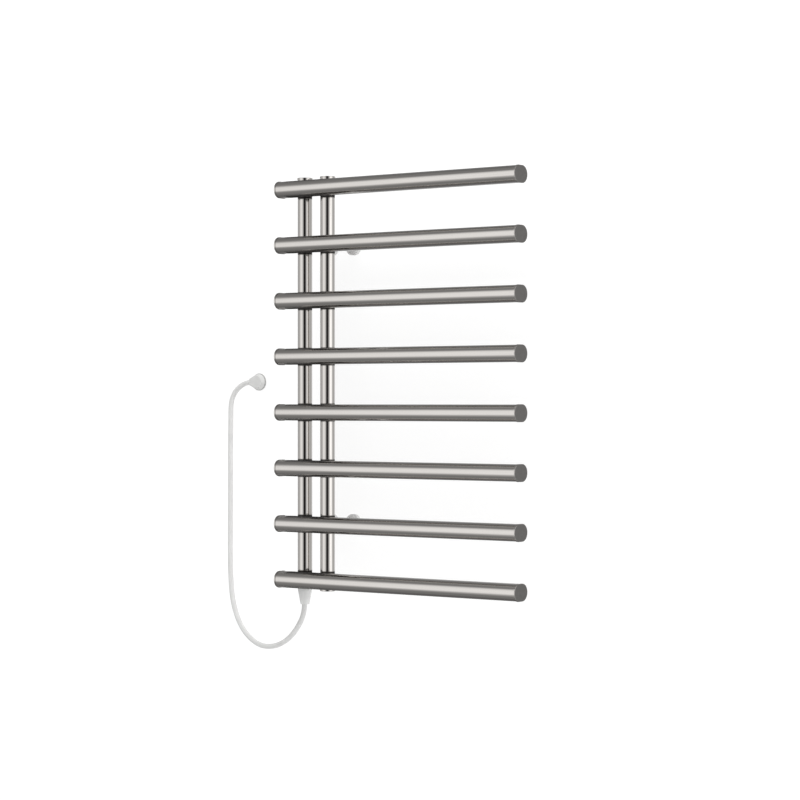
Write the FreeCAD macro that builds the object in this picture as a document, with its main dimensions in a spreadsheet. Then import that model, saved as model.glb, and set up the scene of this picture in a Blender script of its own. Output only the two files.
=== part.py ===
"""Electric towel warmer rack: eight flat-oval heated bars on two tubular posts.

The rack hangs on a wall by four standoffs. Millimetres, +Z up. The origin is on the wall
plane (Y = 0), midway between the posts and midway between bars four and five. -Y points
into the room and +X towards the free ends of the bars. A white supply cord leaves the foot
of the left post, hangs in a loop and ends in a flat mains plug beside the rack.
"""
import FreeCAD, Part
import math
import os

import Sketcher
from FreeCAD import Placement, Rotation, Vector

# Driving dimensions, millimetres. Each one becomes an aliased cell of the size sheet.
SIZES = {
    # bars: flat-oval steel tubes, numbered from the top
    "bar_pitch": 97.0,
    "bar_length": 500.0,
    "bar_left_end": 56.5,
    "bar_height": 28.0,
    "bar_depth": 38.0,
    "bar_wall": 1.2,
    "bar_axis_back": 106.7,
    # caps that close the bars
    "end_cap_height": 29.2,
    "end_cap_depth": 39.2,
    "end_cap_plate": 3.0,
    "end_cap_spigot": 9.0,
    "end_cap_wall": 1.6,
    "end_cap_edge": 0.8,
    # posts: round steel tubes behind the bars
    "post_spacing": 50.0,
    "post_radius": 12.7,
    "post_wall": 1.5,
    "post_axis_back": 78.0,
    "post_top": 358.0,
    "post_foot": 355.4,
    "post_cap_radius": 13.4,
    "post_cap_plate": 3.0,
    "post_cap_spigot": 10.0,
    "post_cap_edge": 0.8,
    # wall fixing: anchor, standoff, threaded insert and grub screw
    "anchor_radius": 14.5,
    "anchor_depth": 8.0,
    "anchor_floor": 5.0,
    "anchor_edge": 1.0,
    "ring_radius": 6.5,
    "ring_bore_radius": 4.8,
    "ring_end": 18.0,
    "screw_hole_radius": 2.6,
    "standoff_radius": 8.2,
    "standoff_bore_end": 58.0,
    "stud_radius": 3.0,
    "stud_end": 72.5,
    "insert_radius": 4.5,
    "insert_end": 74.0,
    "grub_radius": 2.0,
    "grub_depth": 13.0,
    "grub_top": 1.5,
    # heating element in each bar
    "element_start": 14.0,
    "element_end": 405.0,
    "element_rod_radius": 3.2,
    "element_half_gap": 8.0,
    "element_head_length": 16.0,
    "element_head_depth": 23.0,
    "element_head_height": 9.0,
    "spacer_thickness": 2.0,
    # wiring inside the left post
    "wire_offset": 3.0,
    "wire_axis_back": 82.0,
    "wire_radius": 2.2,
    "riser_radius": 2.6,
    "riser_over": 4.0,
    "grommet_radius": 3.5,
    "grommet_length": 3.6,
    "limiter_radius": 3.5,
    "limiter_length": 20.0,
    "limiter_bottom": 60.0,
    "terminal_width": 12.0,
    "terminal_depth": 9.8,
    "terminal_height": 25.0,
    "terminal_bottom": 310.0,
    "lead_radius": 1.8,
    # gland at the foot of the left post
    "gland_spigot": 10.0,
    "gland_boss_radius": 8.0,
    "gland_boss": 3.0,
    "earth_x": 4.4,
    "earth_y": 5.4,
    "earth_tag_side": 6.0,
    "earth_tag_thickness": 0.8,
    "earth_screw_radius": 1.6,
    "earth_screw_length": 8.0,
    "earth_head_radius": 2.8,
    "earth_head_height": 2.2,
    # strain relief, cord and plug
    "boot_radius": 12.4,
    "boot_collar": 3.5,
    "boot_tip_radius": 7.8,
    "boot_height": 28.2,
    "boot_edge": 1.0,
    "cord_radius": 4.6,
    "cord_inset": 10.6,
    "plug_x": 187.0,
    "plug_z": 6.0,
    "plug_face_back": 6.0,
    "plug_base_radius": 15.5,
    "plug_rim": 2.8,
    "plug_front_radius": 12.2,
    "plug_depth": 11.0,
    "plug_edge": 1.2,
    "plug_bevel": 0.8,
    "plug_neck_end": 16.5,
    "plug_neck_start": 5.5,
    "plug_neck_root": 10.8,
    "plug_neck_tip": 5.6,
    "plug_neck_gap": 0.3,
    "plug_neck_depth": 10.5,
    "plug_cord_end": 7.5,
    "plug_cord_back": 11.5,
    "blade_gap": 12.7,
    "blade_width": 6.35,
    "blade_thickness": 1.5,
    "blade_length": 17.5,
    "blade_root": 7.0,
    "blade_rise": 4.0,
    "ground_radius": 2.38,
    "ground_length": 20.0,
    "ground_drop": 11.9,
}

BAR_COUNT = 8
SPACER_PLACES = (120.0, 300.0)
POST_SIDES = {"left": -1, "right": 1}
BRACKET_LEVELS = {"upper": 1, "lower": -1}

# Free run of the cord, from inside the boot to inside the plug's neck, points set by hand.
CORD_ROUTE = [
    (-25, -78, -366), (-25, -78, -393), (-36, -77, -418), (-62, -75, -447),
    (-99, -71, -464), (-140, -68, -464), (-181, -64, -437), (-206, -59, -392),
    (-217, -52, -340), (-225, -43, -272), (-232, -34, -203), (-238, -27, -150),
    (-243, -21, -98), (-246, -16.5, -59), (-248, -14, -31.5), (-240.6, -12.8, -13),
    (-225.6, -11.5, 0.2), (-207.5, -11.5, 6), (-194.5, -11.5, 6),
]

# Rotations that turn a primitive's own +Z to a direction of the rack's frame.
TOWARDS = {
    "+X": Rotation(Vector(0, 1, 0), 90),
    "-X": Rotation(Vector(0, 1, 0), -90),
    "+Y": Rotation(Vector(1, 0, 0), -90),
    "-Y": Rotation(Vector(1, 0, 0), 90),
    "+Z": Rotation(),
    "-Z": Rotation(Vector(1, 0, 0), 180),
}

# Formulas used by several pieces.
POST_INNER = "(sizes.post_radius - sizes.post_wall)"
BRACKET_Z = "sizes.bar_pitch * 2.5"
LEFT_X = "-sizes.post_spacing / 2"
WIRE_X = "(sizes.wire_offset - sizes.post_spacing / 2)"
GLAND_TOP = "(sizes.gland_spigot - sizes.post_foot)"
FOOT_Z = "-sizes.post_foot"

doc = FreeCAD.newDocument("TowelWarmerRack")
pieces = {}


# ---------------------------------------------------------------- sheet and small helpers

def make_sheet():
    """Write every driving dimension into its own aliased cell."""
    sheet = doc.addObject("Spreadsheet::Sheet", "sizes")
    for row, (alias, value) in enumerate(SIZES.items(), start=1):
        sheet.set(f"A{row}", alias)
        sheet.set(f"B{row}", str(value))
        sheet.setAlias(f"B{row}", alias)
    doc.recompute()
    return sheet


def size(alias):
    """The number that a cell of the sheet holds."""
    return float(getattr(sheet, alias))


def bind(thing, links):
    """Tie properties of an object to formulas over the sheet."""
    for name, formula in links.items():
        thing.setExpression(name, formula)


def place(thing, x="0", y="0", z="0", towards="+Z"):
    """Turn an object and bind its position to formulas."""
    thing.Placement = Placement(Vector(), TOWARDS[towards])
    bind(thing, {"Placement.Base.x": x, "Placement.Base.y": y, "Placement.Base.z": z})
    return thing


def keep(label, thing):
    """Register a finished sub-part under the name of its file."""
    thing.Label = label
    pieces[label] = thing
    return thing


def bar_z(number):
    """Formula for the height of a bar's axis; bar one is the top one."""
    return f"sizes.bar_pitch * {(BAR_COUNT + 1) / 2 - number}"


def side_x(side):
    """Formula for the X of a post's axis."""
    return f"{POST_SIDES[side]} * sizes.post_spacing / 2"


# ---------------------------------------------------------------- Part primitives

def rod(name, radius, length, x="0", y="0", z="0", towards="+Z"):
    """A cylinder that starts at a point and runs in one direction."""
    cylinder = doc.addObject("Part::Cylinder", name)
    bind(cylinder, {"Radius": radius, "Height": length})
    return place(cylinder, x, y, z, towards)


def block(name, length, width, height, x, y, z):
    """A box given by its size and its low corner."""
    box = doc.addObject("Part::Box", name)
    bind(box, {"Length": length, "Width": width, "Height": height})
    return place(box, x, y, z)


def fused(name, parts):
    """One solid from several that meet."""
    union = doc.addObject("Part::MultiFuse", name)
    union.Shapes = parts
    union.Refine = True
    return union


def cut(name, base, tool):
    """The base without the tool."""
    result = doc.addObject("Part::Cut", name)
    result.Base = base
    result.Tool = tool
    return result


def group(name, parts):
    """Identical small pieces that share one node and stay separate solids."""
    compound = doc.addObject("Part::Compound", name)
    compound.Links = parts
    return compound


# ---------------------------------------------------------------- sketches and features

def new_sketch(body, name, plane, offset="0"):
    """A sketch on one of the body's own origin planes, moved along the plane's normal."""
    sketch = body.newObject("Sketcher::SketchObject", name)
    planes = {feature.Role: feature for feature in body.Origin.OriginFeatures}
    sketch.AttachmentSupport = [(planes[plane], "")]
    sketch.MapMode = "FlatFace"
    sketch.setExpression("AttachmentOffset.Base.z", offset)
    return sketch


def bound_constraint(sketch, formula, *definition):
    """Add a dimension to a sketch and tie it to a formula."""
    index = sketch.addConstraint(Sketcher.Constraint(*definition))
    sketch.setExpression(f"Constraints[{index}]", formula)


def add_outline(sketch, corners):
    """A closed polygon whose corners are pairs of formulas."""
    count = len(corners)
    first = sketch.GeometryCount
    turn = 2 * math.pi / count
    start = [Vector(math.cos(i * turn), math.sin(i * turn), 0) for i in range(count)]
    for i in range(count):
        sketch.addGeometry(Part.LineSegment(start[i], start[(i + 1) % count]), False)
    for i in range(count):
        here, after = first + i, first + (i + 1) % count
        sketch.addConstraint(Sketcher.Constraint("Coincident", here, 2, after, 1))
    for i, (across, up) in enumerate(corners):
        bound_constraint(sketch, across, "DistanceX", first + i, 1, start[i].x)
        bound_constraint(sketch, up, "DistanceY", first + i, 1, start[i].y)


def add_circle(sketch, across, up, radius):
    """A circle placed and sized by formulas."""
    start = Part.Circle(Vector(1, 1, 0), Vector(0, 0, 1), 1)
    index = sketch.addGeometry(start, False)
    bound_constraint(sketch, across, "DistanceX", index, 3, 1)
    bound_constraint(sketch, up, "DistanceY", index, 3, 1)
    bound_constraint(sketch, radius, "Radius", index, 1)


def add_stadium(sketch, depth, height, inset="0"):
    """A flat oval: two half circles joined by flats, drawn inset mm inside its sizes."""
    depth_now, height_now = size(depth), size(height)
    inset_now = sum(size(alias) for alias in inset.split(" + ") if alias != "0")
    radius, half = height_now / 2 - inset_now, (depth_now - height_now) / 2
    up = Vector(0, 0, 1)
    front = Part.Circle(Vector(half, 0, 0), up, radius)
    back = Part.Circle(Vector(-half, 0, 0), up, radius)
    first = sketch.GeometryCount
    quarter = math.pi / 2
    sketch.addGeometry(Part.ArcOfCircle(front, -quarter, quarter), False)
    sketch.addGeometry(Part.LineSegment(Vector(half, radius, 0), Vector(-half, radius, 0)), False)
    sketch.addGeometry(Part.ArcOfCircle(back, quarter, 3 * quarter), False)
    sketch.addGeometry(Part.LineSegment(Vector(-half, -radius, 0), Vector(half, -radius, 0)), False)
    for i in range(4):
        here, after = first + i, first + (i + 1) % 4
        sketch.addConstraint(Sketcher.Constraint("Tangent", here, 2, after, 1))
    sketch.addConstraint(Sketcher.Constraint("PointOnObject", first, 3, -1))
    sketch.addConstraint(Sketcher.Constraint("PointOnObject", first + 2, 3, -1))
    inset_formula = " - ".join(["0"] + [f"sizes.{a}" for a in inset.split(" + ") if a != "0"])
    half_formula = f"(sizes.{depth} - sizes.{height}) / 2"
    bound_constraint(sketch, f"sizes.{height} / 2 + ({inset_formula})", "Radius", first, radius)
    bound_constraint(sketch, half_formula, "DistanceX", first, 3, half)
    bound_constraint(sketch, f"-{half_formula}", "DistanceX", first + 2, 3, -half)


def add_pad(body, sketch, length, reverse=False):
    """Push a sketch into a solid."""
    pad = body.newObject("PartDesign::Pad", f"{sketch.Name}_pad")
    pad.Profile = sketch
    pad.Reversed = reverse
    pad.setExpression("Length", length)
    doc.recompute()
    return pad


def add_pocket(body, sketch, length=None, reverse=False):
    """Cut a sketch out of a solid, right through both ways unless a length is given."""
    before = body.Shape.Volume
    pocket = body.newObject("PartDesign::Pocket", f"{sketch.Name}_pocket")
    pocket.Profile = sketch
    pocket.Reversed = reverse
    if length is None:
        pocket.SideType = "Symmetric"
        pocket.Type = "ThroughAll"
    else:
        pocket.setExpression("Length", length)
    doc.recompute()
    if body.Shape.Volume > before - 0.1:
        raise RuntimeError(f"{body.Name}: {sketch.Name} cut nothing")
    return pocket


def add_turning(body, sketch):
    """Turn a sketch round its own vertical axis."""
    turning = body.newObject("PartDesign::Revolution", f"{sketch.Name}_turned")
    turning.Profile = sketch
    turning.ReferenceAxis = (sketch, ["V_Axis"])
    turning.Angle = 360
    doc.recompute()
    return turning


def add_rounding(body, base, radius, axis, level):
    """Round the outer edges of a feature that lie in the plane axis = level."""
    names = []
    widest = max(edge.BoundBox.DiagonalLength for edge in base.Shape.Edges)
    for i, edge in enumerate(base.Shape.Edges, start=1):
        box = edge.BoundBox
        low, high = getattr(box, f"{axis}Min"), getattr(box, f"{axis}Max")
        flat = abs(low - level) < 0.001 and abs(high - level) < 0.001
        if flat and box.DiagonalLength > 0.2 * widest:
            names.append(f"Edge{i}")
    fillet = body.newObject("PartDesign::Fillet", f"{base.Name}_rounding")
    fillet.Base = (base, names)
    fillet.setExpression("Radius", radius)
    doc.recompute()
    return fillet


# ---------------------------------------------------------------- bars and their caps

def make_bar(number):
    """A flat-oval tube, notched at the back where it sits on the two posts."""
    body = doc.addObject("PartDesign::Body", f"bar_{number}")
    start = "sizes.end_cap_plate - sizes.bar_left_end"
    section = new_sketch(body, f"bar_{number}_section", "YZ_Plane", start)
    add_stadium(section, "bar_depth", "bar_height")
    add_stadium(section, "bar_depth", "bar_height", "bar_wall")
    add_pad(body, section, "sizes.bar_length - 2 * sizes.end_cap_plate")
    saddles = new_sketch(body, f"bar_{number}_saddles", "XY_Plane")
    for side in POST_SIDES:
        back = "sizes.bar_axis_back - sizes.post_axis_back"
        add_circle(saddles, side_x(side), back, "sizes.post_radius")
    add_pocket(body, saddles)
    place(body, y="-sizes.bar_axis_back", z=bar_z(number))
    keep(f"bar_{number}", body)


def make_bar_cap(number, end):
    """A pressed-in cap: a plate just proud of the tube, with a hollow spigot inside it."""
    label = f"bar_cap_{end}_{number}"
    body = doc.addObject("PartDesign::Body", label)
    face = new_sketch(body, f"{label}_face", "YZ_Plane")
    add_stadium(face, "end_cap_depth", "end_cap_height")
    plate = add_pad(body, face, "sizes.end_cap_plate")
    add_rounding(body, plate, "sizes.end_cap_edge", "X", size("end_cap_plate"))
    collar = new_sketch(body, f"{label}_collar", "YZ_Plane")
    add_stadium(collar, "bar_depth", "bar_height", "bar_wall")
    add_stadium(collar, "bar_depth", "bar_height", "bar_wall + end_cap_wall")
    add_pad(body, collar, "sizes.end_cap_spigot", reverse=True)
    if end == "right":
        x = "sizes.bar_length - sizes.bar_left_end - sizes.end_cap_plate"
    else:
        x = "sizes.end_cap_plate - sizes.bar_left_end"
    place(body, x, "-sizes.bar_axis_back", bar_z(number))
    if end == "left":
        body.Placement.Rotation = Rotation(Vector(0, 0, 1), 180)
    keep(label, body)


def make_bars():
    for number in range(1, BAR_COUNT + 1):
        make_bar(number)
        make_bar_cap(number, "left")
        make_bar_cap(number, "right")


# ---------------------------------------------------------------- posts and their caps

def make_post(side):
    """A round tube with insert holes at the back; the left one also has wiring holes."""
    label = f"post_{side}"
    body = doc.addObject("PartDesign::Body", label)
    section = new_sketch(body, f"{label}_section", "XY_Plane", "-sizes.post_foot")
    add_circle(section, "0", "0", "sizes.post_radius")
    add_circle(section, "0", "0", POST_INNER)
    add_pad(body, section, "sizes.post_top + sizes.post_foot")
    inserts = new_sketch(body, f"{label}_inserts", "XZ_Plane")
    for sign in BRACKET_LEVELS.values():
        add_circle(inserts, "0", f"{sign} * {BRACKET_Z}", "sizes.insert_radius")
    add_pocket(body, inserts, "2 * sizes.post_radius")
    if side == "left":
        wires = new_sketch(body, f"{label}_wires", "XZ_Plane")
        for number in range(1, BAR_COUNT + 1):
            add_circle(wires, "sizes.wire_offset", bar_z(number), "sizes.grommet_radius")
        add_pocket(body, wires, "2 * sizes.post_radius", reverse=True)
    place(body, side_x(side), "-sizes.post_axis_back")
    keep(label, body)


def make_post_cap(label, side, end):
    """A shallow turned cap with a spigot that fits the post's bore."""
    body = doc.addObject("PartDesign::Body", label)
    profile = new_sketch(body, f"{label}_profile", "XZ_Plane")
    add_outline(profile, [
        ("0", "sizes.post_cap_plate"),
        ("sizes.post_cap_radius", "sizes.post_cap_plate"),
        ("sizes.post_cap_radius", "0"),
        (POST_INNER, "0"),
        (POST_INNER, "-sizes.post_cap_spigot"),
        ("0", "-sizes.post_cap_spigot"),
    ])
    turned = add_turning(body, profile)
    add_rounding(body, turned, "sizes.post_cap_edge", "Z", size("post_cap_plate"))
    if end == "top":
        place(body, side_x(side), "-sizes.post_axis_back", "sizes.post_top")
    else:
        place(body, side_x(side), "-sizes.post_axis_back", "-sizes.post_foot", "-Z")
    keep(label, body)


def make_posts():
    for side in POST_SIDES:
        make_post(side)
        make_post_cap(f"post_top_cap_{side}", side, "top")
    make_post_cap("post_bottom_cap_right", "right", "bottom")


# ---------------------------------------------------------------- wall fixing

def make_wall_anchor(level, side):
    """A turned disc screwed to the wall, with a ring that the standoff slides over."""
    label = f"wall_anchor_{level}_{side}"
    body = doc.addObject("PartDesign::Body", label)
    profile = new_sketch(body, f"{label}_profile", "XY_Plane")
    add_outline(profile, [
        ("sizes.screw_hole_radius", "0"),
        ("sizes.anchor_radius", "0"),
        ("sizes.anchor_radius", "sizes.anchor_edge - sizes.anchor_depth"),
        ("sizes.anchor_radius - sizes.anchor_edge", "-sizes.anchor_depth"),
        ("sizes.ring_radius", "-sizes.anchor_depth"),
        ("sizes.ring_radius", "-sizes.ring_end"),
        ("sizes.ring_bore_radius", "-sizes.ring_end"),
        ("sizes.ring_bore_radius", "-sizes.anchor_floor"),
        ("sizes.screw_hole_radius", "-sizes.anchor_floor"),
    ])
    add_turning(body, profile)
    place(body, side_x(side), z=f"{BRACKET_LEVELS[level]} * {BRACKET_Z}")
    keep(label, body)


def make_standoff(level, side):
    """A hollow sleeve welded square to the post side, with a stud into the post."""
    label = f"standoff_{level}_{side}"
    x, z = side_x(side), f"{BRACKET_LEVELS[level]} * {BRACKET_Z}"
    sleeve = rod(f"{label}_sleeve", "sizes.standoff_radius",
                 "sizes.post_axis_back - sizes.anchor_depth", x, "-sizes.anchor_depth", z, "-Y")
    bore = rod(f"{label}_bore", "sizes.ring_radius",
               "sizes.standoff_bore_end - sizes.anchor_depth", x, "-sizes.anchor_depth", z, "-Y")
    post = rod(f"{label}_saddle", "sizes.post_radius", "4 * sizes.standoff_radius",
               x, "-sizes.post_axis_back", f"{z} - 2 * sizes.standoff_radius")
    screw_way = rod(f"{label}_screw_way", "sizes.grub_radius", "2 * sizes.standoff_radius",
                    x, "-sizes.grub_depth", z, "-Z")
    hollow = cut(f"{label}_hollow", sleeve, bore)
    saddled = cut(f"{label}_saddled", hollow, post)
    drilled = cut(f"{label}_drilled", saddled, screw_way)
    stud = rod(f"{label}_stud", "sizes.stud_radius",
               "sizes.stud_end - sizes.standoff_bore_end", x, "-sizes.standoff_bore_end", z, "-Y")
    keep(label, fused(label, [drilled, stud]))


def make_post_insert(name, side, sign):
    """A threaded insert in the post's back wall, trimmed flush with the tube."""
    x, z = side_x(side), f"{sign} * {BRACKET_Z}"
    outer = rod(f"{name}_outer", "sizes.insert_radius", "sizes.insert_end", x, "0", z, "-Y")
    thread = rod(f"{name}_thread", "sizes.stud_radius", "sizes.insert_end", x, "0", z, "-Y")
    post = rod(f"{name}_post", "sizes.post_radius", "4 * sizes.insert_radius",
               x, "-sizes.post_axis_back", f"{z} - 2 * sizes.insert_radius")
    trimmed = doc.addObject("Part::Common", f"{name}_trimmed")
    trimmed.Base = cut(f"{name}_tube", outer, thread)
    trimmed.Tool = post
    return trimmed


def make_wall_fixing():
    inserts, grubs = [], []
    for level, sign in BRACKET_LEVELS.items():
        for side in POST_SIDES:
            make_wall_anchor(level, side)
            make_standoff(level, side)
            inserts.append(make_post_insert(f"insert_{level}_{side}", side, sign))
            grubs.append(rod(f"grub_{level}_{side}", "sizes.grub_radius", "sizes.grub_top",
                             side_x(side), "-sizes.grub_depth",
                             f"{sign} * {BRACKET_Z} - sizes.ring_radius", "-Z"))
    keep("post_inserts", group("post_inserts", inserts))
    keep("grub_screws", group("grub_screws", grubs))


# ---------------------------------------------------------------- heating and wiring

def make_heating_element(number):
    """A hairpin rod element: ceramic head by the left post, two legs and an end bend."""
    label = f"heating_element_{number}"
    z = bar_z(number)
    y = "-sizes.bar_axis_back"
    head = block(f"{label}_head", "sizes.element_head_length", "sizes.element_head_depth",
                 "sizes.element_head_height", "-sizes.element_start - sizes.element_head_length",
                 f"{y} - sizes.element_head_depth / 2", f"{z} - sizes.element_head_height / 2")
    legs = []
    for name, sign in (("front", -1), ("rear", 1)):
        legs.append(rod(f"{label}_{name}_leg", "sizes.element_rod_radius",
                        "sizes.element_end + sizes.element_start", "-sizes.element_start",
                        f"{y} + {sign} * sizes.element_half_gap", z, "+X"))
    bend = doc.addObject("Part::Torus", f"{label}_bend")
    bend.Angle3 = 180
    bind(bend, {"Radius1": "sizes.element_half_gap", "Radius2": "sizes.element_rod_radius"})
    place(bend, "sizes.element_end", y, z)
    bend.Placement.Rotation = Rotation(Vector(0, 0, 1), -90)
    keep(label, fused(label, [head, bend] + legs))


def make_spacer(number, x):
    """A plate that holds the hairpin in the middle of its tube."""
    name = f"spacer_{number}_{int(x)}"
    body = doc.addObject("PartDesign::Body", name)
    section = new_sketch(body, f"{name}_section", "YZ_Plane")
    add_stadium(section, "bar_depth", "bar_height", "bar_wall")
    for sign in (-1, 1):
        add_circle(section, f"{sign} * sizes.element_half_gap", "0", "sizes.element_rod_radius")
    add_pad(body, section, "sizes.spacer_thickness")
    return place(body, str(x), "-sizes.bar_axis_back", bar_z(number))


def make_grommet(number):
    """A bush that lines the wiring hole in the left post's wall."""
    middle = "(sizes.post_axis_back + sizes.post_radius - sizes.post_wall / 2)"
    start = f"sizes.grommet_length / 2 - {middle}"
    outer = rod(f"grommet_{number}_outer", "sizes.grommet_radius", "sizes.grommet_length",
                WIRE_X, start, bar_z(number), "-Y")
    hole = rod(f"grommet_{number}_hole", "sizes.wire_radius", "sizes.grommet_length",
               WIRE_X, start, bar_z(number), "-Y")
    return cut(f"grommet_{number}", outer, hole)


def make_harness():
    """The wiring in the left post: one riser with a branch into every bar."""
    riser = rod("harness_riser", "sizes.riser_radius",
                f"{BAR_COUNT - 1} * sizes.bar_pitch + 2 * sizes.riser_over",
                WIRE_X, "-sizes.wire_axis_back", f"{bar_z(BAR_COUNT)} - sizes.riser_over")
    reach = "sizes.bar_axis_back - sizes.element_head_depth / 2 - sizes.wire_axis_back"
    branches = [rod(f"harness_branch_{number}", "sizes.wire_radius", reach, WIRE_X,
                    "-sizes.wire_axis_back", bar_z(number), "-Y")
                for number in range(1, BAR_COUNT + 1)]
    keep("supply_harness", fused("supply_harness", [riser] + branches))


def make_post_electrics():
    """Thermal limiter, terminal block and supply leads inside the left post."""
    beside = f"{WIRE_X} - sizes.riser_radius - sizes.limiter_radius"
    keep("thermal_limiter", rod("thermal_limiter", "sizes.limiter_radius", "sizes.limiter_length",
                                beside, "-sizes.wire_axis_back", "sizes.limiter_bottom"))
    keep("terminal_block", block(
        "terminal_block", "sizes.terminal_width", "sizes.terminal_depth", "sizes.terminal_height",
        f"{LEFT_X} - sizes.terminal_width / 2", "sizes.riser_radius - sizes.wire_axis_back",
        "-sizes.terminal_bottom"))
    lead_start = f"({FOOT_Z} - sizes.cord_inset)"
    keep("supply_leads", rod("supply_leads", "sizes.lead_radius",
                             f"-sizes.terminal_bottom - {lead_start}",
                             f"{LEFT_X} - sizes.wire_offset", "-sizes.post_axis_back", lead_start))


def make_heating():
    spacers, grommets = [], []
    for number in range(1, BAR_COUNT + 1):
        make_heating_element(number)
        grommets.append(make_grommet(number))
        spacers.extend(make_spacer(number, x) for x in SPACER_PLACES)
    keep("element_spacers", group("element_spacers", spacers))
    keep("wiring_grommets", group("wiring_grommets", grommets))
    make_harness()
    make_post_electrics()


# ---------------------------------------------------------------- gland, earth and boot

def make_gland():
    """The metal insert that closes the left post's foot and passes the supply leads."""
    y = "-sizes.post_axis_back"
    spigot = rod("gland_spigot", POST_INNER, "sizes.gland_spigot", LEFT_X, y, FOOT_Z)
    boss = rod("gland_boss", "sizes.gland_boss_radius", "sizes.gland_boss",
               LEFT_X, y, f"{FOOT_Z} - sizes.gland_boss")
    whole = fused("gland_whole", [spigot, boss])
    lead_way = rod("gland_lead_way", "sizes.lead_radius", "3 * sizes.gland_spigot",
                   f"{LEFT_X} - sizes.wire_offset", y, f"{FOOT_Z} - sizes.gland_spigot")
    screw_way = rod("gland_screw_way", "sizes.earth_screw_radius",
                    "sizes.earth_screw_length - sizes.earth_tag_thickness",
                    f"{LEFT_X} + sizes.earth_x", f"{y} + sizes.earth_y", GLAND_TOP, "-Z")
    keep("gland_insert", cut("gland_insert", cut("gland_bored", whole, lead_way), screw_way))


def make_earth():
    """The earth tag and its screw on top of the gland insert."""
    x = f"{LEFT_X} + sizes.earth_x"
    y = "-sizes.post_axis_back + sizes.earth_y"
    tag_top = f"{GLAND_TOP} + sizes.earth_tag_thickness"
    plate = block("earth_plate", "sizes.earth_tag_side", "sizes.earth_tag_side",
                  "sizes.earth_tag_thickness", f"{x} - sizes.earth_tag_side / 2",
                  f"{y} - sizes.earth_tag_side / 2", GLAND_TOP)
    hole = rod("earth_hole", "sizes.earth_screw_radius", "sizes.earth_tag_thickness",
               x, y, GLAND_TOP)
    keep("earth_tag", cut("earth_tag", plate, hole))
    shank = rod("earth_shank", "sizes.earth_screw_radius", "sizes.earth_screw_length",
                x, y, tag_top, "-Z")
    head = rod("earth_head", "sizes.earth_head_radius", "sizes.earth_head_height", x, y, tag_top)
    keep("earth_screw", fused("earth_screw", [head, shank]))


def make_boot():
    """The moulded strain relief: a collar under the post, tapering down to the cord."""
    body = doc.addObject("PartDesign::Body", "strain_relief")
    profile = new_sketch(body, "boot_profile", "XZ_Plane")
    add_outline(profile, [
        ("sizes.gland_boss_radius", "0"),
        ("sizes.boot_radius", "0"),
        ("sizes.boot_radius", "-sizes.boot_collar"),
        ("sizes.boot_tip_radius", "-sizes.boot_height"),
        ("sizes.cord_radius", "-sizes.boot_height"),
        ("sizes.cord_radius", "-sizes.cord_inset"),
        ("0", "-sizes.cord_inset"),
        ("0", "-sizes.gland_boss"),
        ("sizes.gland_boss_radius", "-sizes.gland_boss"),
    ])
    turned = add_turning(body, profile)
    add_rounding(body, turned, "sizes.boot_edge", "Z", -size("boot_collar"))
    lead_way = new_sketch(body, "boot_lead_way", "XY_Plane")
    add_circle(lead_way, "-sizes.wire_offset", "0", "sizes.lead_radius")
    add_pocket(body, lead_way, "sizes.cord_inset")
    place(body, LEFT_X, "-sizes.post_axis_back", FOOT_Z)
    keep("strain_relief", body)


# ---------------------------------------------------------------- cord and plug

def cord_path():
    """Straight runs joined by tangent arcs, each arc as large as its two runs allow."""
    points = [Vector(*point) for point in CORD_ROUTE]
    edges, radii = [], []
    start = points[0]
    for before, corner, after in zip(points, points[1:], points[2:]):
        into, out = corner - before, after - corner
        half_turn = into.getAngle(out) / 2
        reach = 0.45 * min(into.Length, out.Length)
        radii.append(reach / math.tan(half_turn))
        into.normalize()
        out.normalize()
        arc_start, arc_end = corner - into * reach, corner + out * reach
        bisector = (out - into).normalize()
        middle = corner + bisector * (radii[-1] / math.cos(half_turn) - radii[-1])
        edges.append(Part.LineSegment(start, arc_start).toShape())
        edges.append(Part.Arc(arc_start, middle, arc_end).toShape())
        start = arc_end
    edges.append(Part.LineSegment(start, points[-1]).toShape())
    print("cord radii:", " ".join(f"{radius:.1f}" for radius in radii))
    return Part.Wire(edges)


def make_cord():
    """The cord's free run as a plain tube."""
    path = cord_path()
    tangent = Vector(*CORD_ROUTE[1]) - Vector(*CORD_ROUTE[0])
    section = Part.Wire(Part.makeCircle(size("cord_radius"), Vector(*CORD_ROUTE[0]), tangent))
    tube = path.makePipeShell([section], True, False)
    expected = math.pi * size("cord_radius") ** 2 * path.Length
    print(f"cord length {path.Length:.1f} mm, volume ratio {tube.Volume / expected:.4f}")
    if abs(tube.Volume / expected - 1) > 0.01:
        raise RuntimeError("the cord's tube doesn't fill its path")
    cord = doc.addObject("Part::Feature", "cord")
    cord.Shape = tube
    cord.Placement = Placement()
    keep("cord", cord)


def plug_blades():
    """Two flat blades and a round earth pin, from inside the plug to behind the wall face."""
    root = "(sizes.plug_face_back + sizes.blade_root)"
    blades = []
    for name, sign in (("left", -1), ("right", 1)):
        blades.append(block(
            f"blade_{name}", "sizes.blade_thickness", "sizes.blade_length + sizes.blade_root",
            "sizes.blade_width",
            f"{sign} * sizes.blade_gap / 2 - sizes.plug_x - sizes.blade_thickness / 2",
            f"-{root}", "sizes.plug_z + sizes.blade_rise - sizes.blade_width / 2"))
    pin = rod("ground_pin", "sizes.ground_radius", "sizes.ground_length + sizes.blade_root",
              "-sizes.plug_x", f"-{root}",
              "sizes.plug_z + sizes.blade_rise - sizes.ground_drop", "+Y")
    return group("plug_blades", blades + [pin])


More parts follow.
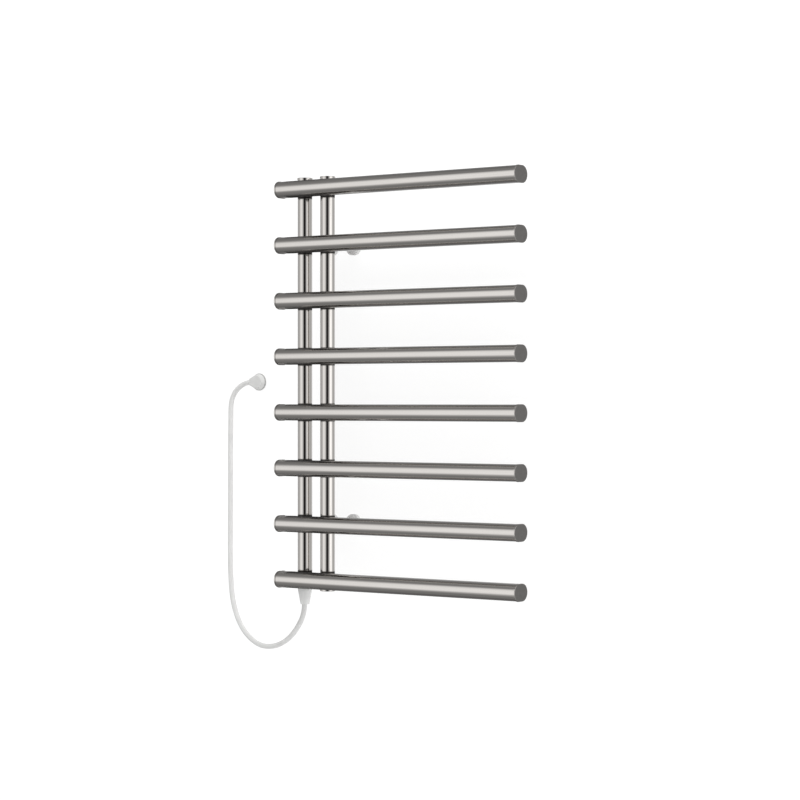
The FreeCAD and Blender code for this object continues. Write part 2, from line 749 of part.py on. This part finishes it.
def plug_neck():
    """The neck of the plug: a wedge from the disc's flanks to the cord, with eased edges."""
    neck = doc.addObject("PartDesign::Body", "plug_neck")
    profile = new_sketch(neck, "neck_profile", "XZ_Plane")
    add_outline(profile, [
        ("-sizes.plug_neck_start", "sizes.plug_neck_root"),
        ("-sizes.plug_neck_end", "sizes.plug_neck_tip"),
        ("-sizes.plug_neck_end", "-sizes.plug_neck_tip"),
        ("-sizes.plug_neck_start", "-sizes.plug_neck_root"),
    ])
    wedge = add_pad(neck, profile, "sizes.plug_neck_depth")
    add_rounding(neck, wedge, "sizes.plug_edge", "Y", -size("plug_neck_depth"))
    return place(neck, "-sizes.plug_x", "-sizes.plug_face_back - sizes.plug_neck_gap",
                 "sizes.plug_z")


def make_plug():
    """A flat round plug: a rimmed disc against the outlet and a neck where the cord enters."""
    disc = doc.addObject("PartDesign::Body", "plug_disc")
    profile = new_sketch(disc, "plug_profile", "XY_Plane")
    taper_end = "-(sizes.plug_depth - sizes.plug_edge)"
    add_outline(profile, [
        ("0", "0"),
        ("sizes.plug_base_radius", "0"),
        ("sizes.plug_base_radius", "sizes.plug_bevel - sizes.plug_rim"),
        ("sizes.plug_base_radius - sizes.plug_bevel", "-sizes.plug_rim"),
        ("sizes.plug_front_radius", taper_end),
        ("sizes.plug_front_radius - sizes.plug_edge", "-sizes.plug_depth"),
        ("0", "-sizes.plug_depth"),
    ])
    add_turning(disc, profile)
    place(disc, "-sizes.plug_x", "-sizes.plug_face_back", "sizes.plug_z")
    bore = rod("plug_bore", "sizes.cord_radius", "sizes.plug_neck_end",
               "-sizes.plug_x - sizes.plug_cord_end", "-sizes.plug_cord_back", "sizes.plug_z", "-X")
    blades = plug_blades()
    shell = cut("plug_bored", fused("plug_shell", [disc, plug_neck()]), bore)
    keep("plug_body", cut("plug_body", shell, blades))
    keep("plug_blades", blades)


# ---------------------------------------------------------------- checks and export

def check_document():
    """Stop if any object failed, or any sub-part has no sound solid."""
    doc.recompute()
    for thing in doc.Objects:
        if "Invalid" in thing.State or "Error" in thing.State:
            raise RuntimeError(f"{thing.Name} failed: {thing.State}")
    for label, piece in pieces.items():
        if piece.Shape.isNull() or not piece.Shape.isValid() or not piece.Shape.Solids:
            raise RuntimeError(f"{label} has no valid solid")


def export_pieces():
    os.makedirs("parts", exist_ok=True)
    for label, piece in pieces.items():
        piece.Shape.exportStep(f"parts/{label}.step")
    print(f"{len(pieces)} sub-parts written")


sheet = make_sheet()
make_bars()
make_posts()
make_wall_fixing()
make_heating()
make_gland()
make_earth()
make_boot()
make_cord()
make_plug()
check_document()
export_pieces()
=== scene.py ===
import math

import bpy
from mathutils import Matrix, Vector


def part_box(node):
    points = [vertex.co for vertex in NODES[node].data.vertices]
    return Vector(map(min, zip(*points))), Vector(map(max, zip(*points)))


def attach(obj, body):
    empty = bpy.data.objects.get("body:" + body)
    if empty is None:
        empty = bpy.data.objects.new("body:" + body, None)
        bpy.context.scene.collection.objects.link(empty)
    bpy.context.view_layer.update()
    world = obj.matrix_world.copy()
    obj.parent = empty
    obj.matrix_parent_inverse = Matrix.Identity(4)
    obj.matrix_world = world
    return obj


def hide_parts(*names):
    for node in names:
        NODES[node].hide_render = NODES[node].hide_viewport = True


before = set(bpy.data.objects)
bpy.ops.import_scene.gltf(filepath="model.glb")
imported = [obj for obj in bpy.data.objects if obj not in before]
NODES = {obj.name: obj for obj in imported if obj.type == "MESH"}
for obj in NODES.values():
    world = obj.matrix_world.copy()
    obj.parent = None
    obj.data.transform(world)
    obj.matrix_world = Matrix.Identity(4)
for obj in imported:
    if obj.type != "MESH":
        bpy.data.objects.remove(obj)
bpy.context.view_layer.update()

# A towel warmer rack on a wall, in metres, in the row frame: the wall is the plane Y = 0, the
# room is towards -Y, the bars' free ends point to +X, and up is +Z.


# ---------------------------------------------------------------- camera

# Level, with a long lens, and turned to the left of straight at the wall.
CAMERA_PLACE = (2.4947, -3.2634, -0.0305)
CAMERA_YAW = 36.0
LENS_MM = 104.43
SENSOR_MM = 36.0
SHIFT_UP = 0.0026
SIGHT = 100.0


def add_camera():
    data = bpy.data.cameras.new("camera")
    data.lens = LENS_MM
    data.sensor_width = SENSOR_MM
    data.shift_y = SHIFT_UP
    data.clip_end = SIGHT
    camera = bpy.data.objects.new("camera", data)
    camera.location = CAMERA_PLACE
    camera.rotation_euler = (math.radians(90.0), 0.0, math.radians(CAMERA_YAW))
    bpy.context.scene.collection.objects.link(camera)
    bpy.context.scene.camera = camera


add_camera()


# ---------------------------------------------------------------- node helpers

# A noise value rarely leaves this range, so two tones are blended across it.
NOISE_LOW, NOISE_HIGH = 0.3, 0.7


class Nodes:
    """A material's or world's node tree, with short calls for the nodes used here."""

    def __init__(self, owner):
        owner.use_nodes = True
        self.tree = owner.node_tree
        self.tree.nodes.clear()

    def add(self, kind, inputs=None, **settings):
        node = self.tree.nodes.new(kind)
        for name, value in settings.items():
            setattr(node, name, value)
        for key, value in (inputs or {}).items():
            self.feed(node, key, value)
        return node

    def feed(self, node, key, value):
        if isinstance(value, bpy.types.NodeSocket):
            self.tree.links.new(value, node.inputs[key])
        else:
            node.inputs[key].default_value = value

    def math(self, operation, *values):
        node = self.add("ShaderNodeMath", operation=operation)
        for i, value in enumerate(values):
            self.feed(node, i, value)
        return node.outputs[0]

    def stretched(self, scale=(1.0, 1.0, 1.0)):
        """Object coordinates scaled by axis: a pattern runs along the axis scaled least."""
        where = self.add("ShaderNodeTexCoord").outputs["Object"]
        mapping = self.add("ShaderNodeMapping", {"Vector": where, "Scale": scale})
        return mapping.outputs["Vector"]

    def noise(self, vector, scale, detail=3.0, roughness=0.55):
        node = self.add("ShaderNodeTexNoise", {"Vector": vector, "Scale": scale,
                                               "Detail": detail, "Roughness": roughness})
        return node.outputs[0]

    def ramp(self, factor, stops):
        """A colour ramp with stops (position, value or colour), at most 32 of them."""
        node = self.add("ShaderNodeValToRGB", {"Fac": factor})
        points = node.color_ramp.elements
        while len(points) > 1:
            points.remove(points[-1])
        for i, (at, colour) in enumerate(stops):
            if not isinstance(colour, tuple):
                colour = (colour, colour, colour)
            point = points[0] if i == 0 else points.new(at)
            point.position = at
            point.color = (*colour, 1.0)
        return node.outputs["Color"]

    def tones(self, noise, dark, light):
        """The dark tone where a noise is low and the light one where it is high."""
        return self.ramp(noise, [(NOISE_LOW, dark), (NOISE_HIGH, light)])

    def spread(self, factor, low, high):
        """A 0 to 1 value carried to low to high."""
        node = self.add("ShaderNodeMapRange", {"Value": factor, "To Min": low, "To Max": high})
        return node.outputs["Result"]

    def rise(self, value, start, end):
        """0 up to start and 1 from end on, smoothly; start may be the larger of the two."""
        node = self.add("ShaderNodeMapRange", {"Value": value, "From Min": start,
                                               "From Max": end},
                        interpolation_type="SMOOTHSTEP")
        return node.outputs["Result"]

    def blend(self, share, first, second):
        """One colour where share is 0 and the other where it is 1."""
        node = self.add("ShaderNodeMix", {"Factor": share}, data_type="RGBA")
        self.feed(node, 6, first)
        self.feed(node, 7, second)
        return node.outputs[2]

    def place(self):
        """The X, Y and Z of a point, in metres."""
        where = self.add("ShaderNodeTexCoord").outputs["Object"]
        return self.add("ShaderNodeSeparateXYZ", {0: where}).outputs

    def bump(self, height, strength, distance, normal=None):
        inputs = {"Height": height, "Strength": strength, "Distance": distance}
        if normal is not None:
            inputs["Normal"] = normal
        return self.add("ShaderNodeBump", inputs).outputs["Normal"]

    def mix_shaders(self, share, first, second):
        mixed = self.add("ShaderNodeMixShader", {"Fac": share})
        self.feed(mixed, 1, first)
        self.feed(mixed, 2, second)
        return mixed.outputs[0]


def new_material(name):
    material = bpy.data.materials.new(name)
    return material, Nodes(material)


def finish_surface(nodes, **sockets):
    """The shader with the given sockets, joined to the output."""
    shader = nodes.add("ShaderNodeBsdfPrincipled",
                       {key.replace("_", " "): value for key, value in sockets.items()})
    nodes.add("ShaderNodeOutputMaterial", {"Surface": shader.outputs[0]})


# ---------------------------------------------------------------- metals

STEEL = ((0.625, 0.60, 0.575), (0.68, 0.655, 0.63))
BLOTCH_SCALE = 14.0
SPECK_SCALE = 900.0

# Painted shade: beside a joint the steel is painted dark and made matt,
# standing in for the contact shadow and the dark reflections where bars meet posts.
JOINT_SHADE_TONE = (0.05, 0.046, 0.043, 1.0)
JOINT_SHADE_ROUGHNESS = 0.5


def metal(name, tones, roughness, grain, grain_depth, marks=0.0, joint_shade=None, metallic=1.0):
    """A metal: two tones, fine polishing lines along one axis, and faint handling marks.

    tones is the darker and the lighter one, roughness the lowest and highest value, grain
    the noise's scale by axis, and marks how strongly soft blotches change the roughness.
    joint_shade gives, for a node tree, the 0 to 1 mask of the painted shade beside a joint:
    there the tone is painted dark, in place of contact shadow and dark reflections, and made
    matt.
    """
    material, nodes = new_material(name)
    lines = nodes.noise(nodes.stretched(grain), 1.0, 4.0, 0.6)
    plain = nodes.stretched()
    blotches = nodes.noise(plain, BLOTCH_SCALE)
    specks = nodes.noise(plain, SPECK_SCALE, 2.0)
    mixed = nodes.math("ADD", nodes.math("MULTIPLY", lines, 1.0 - marks),
                       nodes.math("MULTIPLY", blotches, marks))
    normal = nodes.bump(specks, 0.12, grain_depth * 0.5)
    normal = nodes.bump(lines, 0.35, grain_depth, normal)
    tone = nodes.tones(mixed, *tones)
    rough = nodes.spread(mixed, *roughness)
    if joint_shade is not None:
        shade_mask = joint_shade(nodes)
        # Painted shade: the tone goes dark where the mask is.
        tone = nodes.blend(shade_mask, tone, JOINT_SHADE_TONE)
        rough = nodes.math("MULTIPLY_ADD", shade_mask, JOINT_SHADE_ROUGHNESS, rough)
    finish_surface(nodes, Base_Color=tone, Metallic=metallic, Roughness=rough, Normal=normal)
    return material


BAR_PITCH = 0.097
BAR_HALF_HEIGHT = 0.014
POST_Y = sum(corner[1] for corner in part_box("post_right")) / 2
# Added to heights so that they are all positive, which MODULO needs.
LIFTED_PITCHES = 20


def from_bar(nodes):
    """The height of a point above or below the nearest bar's middle, without its sign."""
    height = nodes.math("ADD", nodes.place()[2], LIFTED_PITCHES * BAR_PITCH)
    return nodes.math("ABSOLUTE", nodes.math(
        "SUBTRACT", nodes.math("MODULO", height, BAR_PITCH), BAR_PITCH / 2))


def post_joint_shade(nodes):
    """On a post: painted shade, a dark line round the front along the edges of each bar's
    saddle, where the bar shades the post.
    """
    height = from_bar(nodes)
    above = nodes.rise(height, BAR_HALF_HEIGHT + 0.0030, BAR_HALF_HEIGHT)
    within = nodes.rise(height, BAR_HALF_HEIGHT - 0.0070, BAR_HALF_HEIGHT - 0.0045)
    front = nodes.rise(nodes.place()[1], POST_Y + 0.0100, POST_Y + 0.0060)
    return nodes.math("MULTIPLY", nodes.math("MULTIPLY", above, within), front)


def bar_joint_shade(nodes):
    """On a bar: painted shade and painted dark reflection on its upper and lower edges beside
    the posts, fading towards the free end.
    """
    edge = nodes.rise(from_bar(nodes), BAR_HALF_HEIGHT - 0.0040, BAR_HALF_HEIGHT)
    across = nodes.place()[0]
    begins = nodes.rise(across, -0.040, -0.034)
    ends = nodes.rise(across, 0.085, 0.030)
    return nodes.math("MULTIPLY", edge, nodes.math("MULTIPLY", begins, ends))


CAP_FACE = ((0.24, 0.232, 0.224), (0.28, 0.27, 0.26))
# How far a normal points along X where the rim's rounding ends and where the face begins.
CAP_TURN = (0.88, 0.97)
CAP_FACE_ROUGHNESS = 0.24


def end_cap_metal():
    """The bars' end caps: polished round the rim, with a duller, darker flat face."""
    material, nodes = new_material("end_cap_steel")
    normal = nodes.add("ShaderNodeNewGeometry").outputs["Normal"]
    along = nodes.math("ABSOLUTE", nodes.add("ShaderNodeSeparateXYZ", {0: normal}).outputs[0])
    face = nodes.ramp(along, [(CAP_TURN[0], 0.0), (CAP_TURN[1], 1.0)])
    grain = nodes.noise(nodes.stretched((260.0, 260.0, 260.0)), 1.0, 4.0, 0.6)
    finish_surface(
        nodes,
        Base_Color=nodes.blend(face, nodes.tones(grain, *STEEL), nodes.tones(grain, *CAP_FACE)),
        Metallic=1.0,
        Roughness=nodes.math("MULTIPLY_ADD", face, CAP_FACE_ROUGHNESS,
                             nodes.spread(grain, 0.12, 0.20)),
        Normal=nodes.bump(grain, 0.3, 0.00001))
    return material


# ---------------------------------------------------------------- plastics and rubber

MOTTLE_SCALE = 60.0


def moulded_grain(nodes, scale, depth):
    """Fine grain, slow mottling, and the normal that the two give together."""
    plain = nodes.stretched()
    fine = nodes.noise(plain, scale)
    mottle = nodes.noise(plain, MOTTLE_SCALE)
    normal = nodes.bump(mottle, 0.2, depth * 4.0, nodes.bump(fine, 0.3, depth))
    return fine, mottle, normal


def moulded(name, tones, roughness, grain, depth, coat=0.0):
    """A moulded plastic or rubber, from its darker and lighter tone."""
    material, nodes = new_material(name)
    fine, mottle, normal = moulded_grain(nodes, grain, depth)
    finish_surface(nodes, Base_Color=nodes.tones(mottle, *tones),
                   Roughness=nodes.spread(fine, *roughness), Coat_Weight=coat, Normal=normal)
    return material


PLUG_FACE = ((0.72, 0.72, 0.71), (0.76, 0.76, 0.75))
# Painted shade: the skirt's grey stands in for the shadow round the plug's edge.
PLUG_SKIRT_SHADE = ((0.42, 0.42, 0.41), (0.46, 0.46, 0.45))
# The skirt is what lies nearer to the wall than this, and it fades in over SKIRT_FADE.
SKIRT_DEPTH = 0.0086
SKIRT_FADE = 0.0006


def plug_plastic():
    """The plug's white plastic, with painted shade on the skirt that sits against the outlet:
    the skirt is painted grey where the plug's edge is in shadow.
    """
    material, nodes = new_material("plug_plastic")
    fine, mottle, normal = moulded_grain(nodes, 1800.0, 0.00003)
    skirt_shade = nodes.rise(nodes.place()[1], -SKIRT_DEPTH - SKIRT_FADE, -SKIRT_DEPTH)
    finish_surface(
        nodes,
        # Painted shade on the skirt.
        Base_Color=nodes.blend(skirt_shade, nodes.tones(mottle, *PLUG_FACE),
                               nodes.tones(mottle, *PLUG_SKIRT_SHADE)),
        Roughness=nodes.spread(fine, 0.34, 0.48),
        Normal=normal)
    return material


# ---------------------------------------------------------------- finishes by node

# The bars and posts get painted shade beside the joints.
bar_steel = metal("bar_steel", STEEL, (0.08, 0.12), (6.0, 900.0, 900.0), 0.000006, 0.25,
                  joint_shade=bar_joint_shade)
post_steel = metal("post_steel", STEEL, (0.05, 0.08), (900.0, 900.0, 6.0), 0.000006, 0.25,
                   joint_shade=post_joint_shade)
cap_steel = metal("cap_steel", STEEL, (0.14, 0.20), (300.0, 300.0, 300.0), 0.000005, 0.3)
end_cap_steel = end_cap_metal()
# Painted reflection: the anchors' and standoffs' near-white, barely metallic tone stands in for
# the white wall that the polished steel mirrors, since the wall is hidden from reflections.
flange_painted_reflection = metal("flange_painted_reflection", ((0.90, 0.895, 0.89), (0.95, 0.945, 0.94)), (0.35, 0.5),
                     (420.0, 60.0, 420.0), 0.00001, 0.25, metallic=0.12)
screw_steel = metal("screw_steel", ((0.42, 0.42, 0.42), (0.52, 0.52, 0.52)), (0.3, 0.42),
                    (700.0, 700.0, 120.0), 0.00001)
brass = metal("brass", ((0.62, 0.47, 0.22), (0.74, 0.57, 0.28)), (0.22, 0.34),
              (700.0, 700.0, 90.0), 0.00001)
sheath_steel = metal("sheath_steel", ((0.40, 0.39, 0.37), (0.50, 0.48, 0.45)), (0.35, 0.5),
                     (20.0, 600.0, 600.0), 0.00001, 0.4)
blade_metal = metal("blade_metal", ((0.62, 0.58, 0.50), (0.70, 0.66, 0.58)), (0.2, 0.3),
                    (500.0, 60.0, 500.0), 0.00001)
gland_metal = metal("gland_metal", STEEL, (0.16, 0.24), (400.0, 400.0, 60.0), 0.00001, 0.2)

plug_white = plug_plastic()
white_plastic = moulded("white_plastic", ((0.85, 0.85, 0.84), (0.89, 0.89, 0.88)),
                        (0.34, 0.48), 1800.0, 0.00003, coat=0.08)
cord_jacket = moulded("cord_jacket", ((0.745, 0.745, 0.735), (0.80, 0.80, 0.79)),
                      (0.42, 0.56), 1500.0, 0.00003)
black_rubber = moulded("black_rubber", ((0.015, 0.015, 0.015), (0.03, 0.03, 0.03)),
                       (0.6, 0.8), 1400.0, 0.00004)
wire_jacket = moulded("wire_jacket", ((0.05, 0.05, 0.055), (0.09, 0.09, 0.095)),
                      (0.4, 0.55), 1600.0, 0.00002)
limiter_case = moulded("limiter_case", ((0.60, 0.58, 0.52), (0.70, 0.68, 0.62)),
                       (0.35, 0.5), 900.0, 0.00003)
terminal_plastic = moulded("terminal_plastic", ((0.72, 0.71, 0.66), (0.80, 0.79, 0.74)),
                           (0.4, 0.55), 1200.0, 0.00003)
mica_board = moulded("mica_board", ((0.42, 0.36, 0.26), (0.58, 0.51, 0.38)),
                     (0.3, 0.6), 500.0, 0.00008)

# By the start of a node's name; the first that fits is taken.
FINISHES = {
    "bar_cap_": end_cap_steel, "bar_": bar_steel, "post_left": post_steel,
    "post_right": post_steel, "post_inserts": brass, "post_": cap_steel,
    "wall_anchor_": flange_painted_reflection, "standoff_": flange_painted_reflection, "grub_screws": screw_steel,
    "heating_element_": sheath_steel, "element_spacers": mica_board,
    "wiring_grommets": black_rubber, "supply_harness": wire_jacket,
    "thermal_limiter": limiter_case, "terminal_block": terminal_plastic,
    "supply_leads": wire_jacket, "gland_insert": gland_metal, "earth_tag": brass,
    "earth_screw": brass, "strain_relief": white_plastic, "cord": cord_jacket,
    "plug_body": plug_white, "plug_blades": blade_metal,
}


def wear(node, material):
    """Put a material on every slot of a CAD node."""
    if not node.material_slots:
        node.data.materials.append(material)
    for material_slot in node.material_slots:
        material_slot.material = material


for name, node in NODES.items():
    wear(node, next(finish for start, finish in FINISHES.items() if name.startswith(start)))


# ---------------------------------------------------------------- cord

CORD_DIAMETER = 0.0092
# From the boot under the left post, down, round one loop to the left, and up to the plug.
CORD_POINTS = [
    (-0.0250, -0.078, -0.3660), (-0.0250, -0.078, -0.3930), (-0.0360, -0.077, -0.4180),
    (-0.0620, -0.075, -0.4470), (-0.0990, -0.071, -0.4640), (-0.1400, -0.068, -0.4640),
    (-0.1810, -0.064, -0.4370), (-0.2060, -0.059, -0.3920), (-0.2170, -0.052, -0.3400),
    (-0.2250, -0.043, -0.2720), (-0.2320, -0.034, -0.2030), (-0.2380, -0.027, -0.1500),
    (-0.2430, -0.021, -0.0980), (-0.2460, -0.0165, -0.0590), (-0.2480, -0.014, -0.0315),
    (-0.2406, -0.0128, -0.0130), (-0.2256, -0.0115, 0.0002), (-0.2075, -0.0115, 0.0060),
    (-0.1945, -0.0115, 0.0060),
]


def add_cord():
    curve = bpy.data.curves.new("supply_cord", "CURVE")
    curve.dimensions = "3D"
    spline = curve.splines.new("NURBS")
    spline.points.add(len(CORD_POINTS) - 1)
    for point, place in zip(spline.points, CORD_POINTS):
        point.co = (*place, 1.0)
    spline.order_u = 3
    spline.use_endpoint_u = True
    spline.resolution_u = 12
    curve.bevel_depth = CORD_DIAMETER / 2
    curve.bevel_resolution = 6
    curve.use_fill_caps = True
    curve.materials.append(cord_jacket)
    cord = bpy.data.objects.new("supply_cord", curve)
    bpy.context.scene.collection.objects.link(cord)
    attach(cord, "root")
    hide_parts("cord")


add_cord()


# ---------------------------------------------------------------- floor and wall

STAGE_SIDE = 3.0
STAGE_FRONT = -6.0
FLOOR_Z = -0.9
WALL_TOP = 2.2
# Just behind the anchors' discs, whose backs lie in the plane of the wall.
WALL_Y = 0.0006
WALL_GLOW = 0.80
WHITE = (1.0, 1.0, 1.0, 1.0)


def floor_paint():
    material, nodes = new_material("floor_paint")
    tone = nodes.tones(nodes.noise(nodes.stretched(), 1.5, 2.0), 0.80, 0.84)
    finish_surface(nodes, Base_Color=tone, Roughness=0.8)
    return material


def wall_paint():
    """Seen from the room side only, so that the back of the rack can be looked at."""
    material, nodes = new_material("wall_paint")
    tone = nodes.tones(nodes.noise(nodes.stretched(), 2.0, 2.0), 0.34, 0.36)
    paint = nodes.add("ShaderNodeBsdfPrincipled", {
        "Base Color": tone, "Roughness": 0.85, "Specular IOR Level": 0.0,
        "Emission Color": WHITE, "Emission Strength": WALL_GLOW})
    from_behind = nodes.add("ShaderNodeNewGeometry").outputs["Backfacing"]
    clear = nodes.add("ShaderNodeBsdfTransparent").outputs[0]
    nodes.add("ShaderNodeOutputMaterial", {
        "Surface": nodes.mix_shaders(from_behind, paint.outputs[0], clear)})
    return material


def add_plane(name, corners, material):
    """A flat stage piece that the steel doesn't mirror; its front faces the room."""
    mesh = bpy.data.meshes.new(name)
    mesh.from_pydata(corners, [], [tuple(range(len(corners)))])
    mesh.materials.append(material)
    piece = bpy.data.objects.new(name, mesh)
    bpy.context.scene.collection.objects.link(piece)
    piece.visible_glossy = False


add_plane("floor", [(-STAGE_SIDE, STAGE_FRONT, FLOOR_Z), (STAGE_SIDE, STAGE_FRONT, FLOOR_Z),
                    (STAGE_SIDE, STAGE_SIDE, FLOOR_Z), (-STAGE_SIDE, STAGE_SIDE, FLOOR_Z)],
          floor_paint())
add_plane("wall", [(-STAGE_SIDE, WALL_Y, FLOOR_Z), (STAGE_SIDE, WALL_Y, FLOOR_Z),
                   (STAGE_SIDE, WALL_Y, WALL_TOP), (-STAGE_SIDE, WALL_Y, WALL_TOP)],
          wall_paint())


# ---------------------------------------------------------------- light

# The room that the steel mirrors is a value by compass bearing times one by height. A bearing
# is in degrees from straight out of the wall (-Y), positive towards +X.
BEARINGS = [
    (-180, 0.95), (-156, 0.60), (-144, 0.42), (-128, 0.38), (-90, 0.50),
    (-70, 0.62), (-55, 0.60), (-47, 0.66), (-41, 1.00), (-36, 1.10), (-20, 1.15), (-3, 0.93),
    (8, 0.60), (13, 0.42), (19, 0.10), (23, 0.01), (38, 0.01), (46, 0.10), (54, 0.34),
    (64, 0.80), (74, 1.20), (86, 1.65), (98, 1.60), (108, 1.20), (118, 0.75), (130, 0.55),
    (146, 0.48), (160, 0.60), (180, 0.95),
]
# A height is the sine of the elevation, from -1 straight down to 1 straight up.
FRONT_HEIGHTS = [
    (-1.00, 0.36), (-0.80, 0.40), (-0.75, 0.38), (-0.63, 0.44), (-0.54, 0.48), (-0.47, 0.52),
    (-0.33, 0.84), (-0.26, 1.00), (0.38, 1.00), (0.43, 0.90), (0.52, 0.80), (0.58, 0.70),
    (0.65, 0.50), (0.71, 0.42), (0.78, 0.42), (0.81, 0.45), (1.00, 0.45),
]
BACK_HEIGHTS = [
    (-1.00, 0.34), (-0.81, 0.34), (-0.63, 0.42), (-0.30, 0.55), (-0.15, 1.00),
    (0.15, 1.00), (0.46, 0.62), (0.72, 0.55), (0.81, 0.42), (1.00, 0.42),
]
# The front's heights give way to the back's between these values of Y.
BACK_BEGINS, BACK_ENDS = -0.1, 0.1
# What lights the plastics: a value by X, from light out of the left to light out of the right.
SIDES = [(-1.0, 0.20), (1.0, 1.20)]


def by_sign(nodes, value, stops):
    """A ramp over a value from -1 to 1."""
    halved = nodes.math("MULTIPLY_ADD", value, 0.5, 0.5)
    return nodes.ramp(halved, [(at / 2 + 0.5, level) for at, level in stops])


def mirrored_room(nodes, axes):
    bearing = nodes.math("ARCTAN2", axes[0], nodes.math("MULTIPLY", axes[1], -1.0))
    turn = nodes.math("MULTIPLY_ADD", bearing, 0.5 / math.pi, 0.5)
    by_bearing = nodes.ramp(turn, [(angle / 360 + 0.5, level) for angle, level in BEARINGS])
    in_front = by_sign(nodes, axes[2], FRONT_HEIGHTS)
    behind = by_sign(nodes, axes[2], BACK_HEIGHTS)
    back_share = nodes.add("ShaderNodeMapRange", {
        "Value": axes[1], "From Min": BACK_BEGINS, "From Max": BACK_ENDS}).outputs["Result"]
    by_height = nodes.math("MULTIPLY_ADD", nodes.math("SUBTRACT", behind, in_front),
                           back_share, in_front)
    return nodes.math("MULTIPLY", by_bearing, by_height)


def add_world():
    """White to the camera, the mirrored room to the steel, and SIDES to everything else."""
    world = bpy.data.worlds.new("room")
    bpy.context.scene.world = world
    nodes = Nodes(world)
    direction = nodes.add("ShaderNodeTexCoord").outputs["Generated"]
    axes = nodes.add("ShaderNodeSeparateXYZ", {0: direction}).outputs
    levels = (by_sign(nodes, axes[0], SIDES), WHITE, mirrored_room(nodes, axes))
    cast, seen, mirrored = (
        nodes.add("ShaderNodeBackground", {"Color": level, "Strength": 1.0}).outputs[0]
        for level in levels)
    rays = nodes.add("ShaderNodeLightPath").outputs
    lit = nodes.mix_shaders(rays["Is Camera Ray"], cast, seen)
    nodes.add("ShaderNodeOutputWorld", {
        "Surface": nodes.mix_shaders(rays["Is Glossy Ray"], lit, mirrored)})


KEY_SIZE = (1.4, 0.5)
KEY_WATTS = 28.0
KEY_PLACE = (0.3, -1.5, 2.4)
KEY_TILT = 32.0


def add_key():
    """A large soft light high in front of the wall: it throws the shadows downwards."""
    data = bpy.data.lights.new("key", "AREA")
    data.shape = "RECTANGLE"
    data.size, data.size_y = KEY_SIZE
    data.energy = KEY_WATTS
    key = bpy.data.objects.new("key", data)
    key.location = KEY_PLACE
    key.rotation_euler = (math.radians(KEY_TILT), 0.0, 0.0)
    key.visible_glossy = False
    bpy.context.scene.collection.objects.link(key)


add_world()
add_key()
bpy.context.scene.view_settings.view_transform = "Standard"
